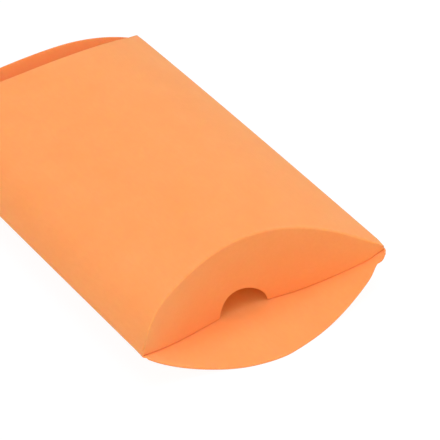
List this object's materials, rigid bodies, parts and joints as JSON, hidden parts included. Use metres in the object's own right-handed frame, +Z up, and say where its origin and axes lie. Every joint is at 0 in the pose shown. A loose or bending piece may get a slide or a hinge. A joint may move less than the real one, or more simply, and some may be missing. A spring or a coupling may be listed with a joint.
{
  "type": "pillow box",
  "caption": "Folded card pillow box: bowed panels meet at creased side edges, and curved end flaps hinge on arc creases to shut the ends; a thumb notch helps to open it.",
  "frame": {"origin": "middle of the flat land under the bottom panel, where the box rests", "axes": "+X across the width towards the glued seam, +Y along the length towards the rear end, +Z up"},
  "size_m": [0.1, 0.1704, 0.032],
  "materials": {
    "card": "matte",
    "glue": "satin"
  },
  "bodies": {
    "sleeve": {"top_panel": "card", "bottom_panel": "card", "left_side_fold": "card", "right_side_fold": "card", "glue_tab": "card", "glue_line": "glue", "front_top_crease": "card", "front_bottom_crease": "card", "rear_top_crease": "card", "rear_bottom_crease": "card"},
    "front_top": {"front_top_flap": "card"},
    "front_bottom": {"front_bottom_flap": "card"},
    "rear_top": {"rear_top_flap": "card"},
    "rear_bottom": {"rear_bottom_flap": "card"}
  },
  "joints": [
    {"name": "front_top_fold", "type": "hinge", "parent": "sleeve", "child": "front_top", "pos_m": [0, -0.0625, 0.0315], "axis": [-1, 0, 0], "range_deg": [0, 90]},
    {"name": "front_bottom_fold", "type": "hinge", "parent": "sleeve", "child": "front_bottom", "pos_m": [0, -0.0639, 0.0005], "axis": [1, 0, 0], "range_deg": [-85, 0], "deforming": ["front_bottom_flap"]},
    {"name": "rear_bottom_fold", "type": "hinge", "parent": "sleeve", "child": "rear_bottom", "pos_m": [0, 0.0625, 0.0005], "axis": [-1, 0, 0], "range_deg": [0, 65], "deforming": ["rear_bottom_flap"]},
    {"name": "rear_top_fold", "type": "hinge", "parent": "sleeve", "child": "rear_top", "pos_m": [0, 0.0625, 0.0315], "axis": [1, 0, 0], "range_deg": [0, 23]}
  ],
  "couplings": [
    {"joint": "rear_top_fold", "follows": "rear_bottom_fold", "ratio": 0.35}
  ]
}
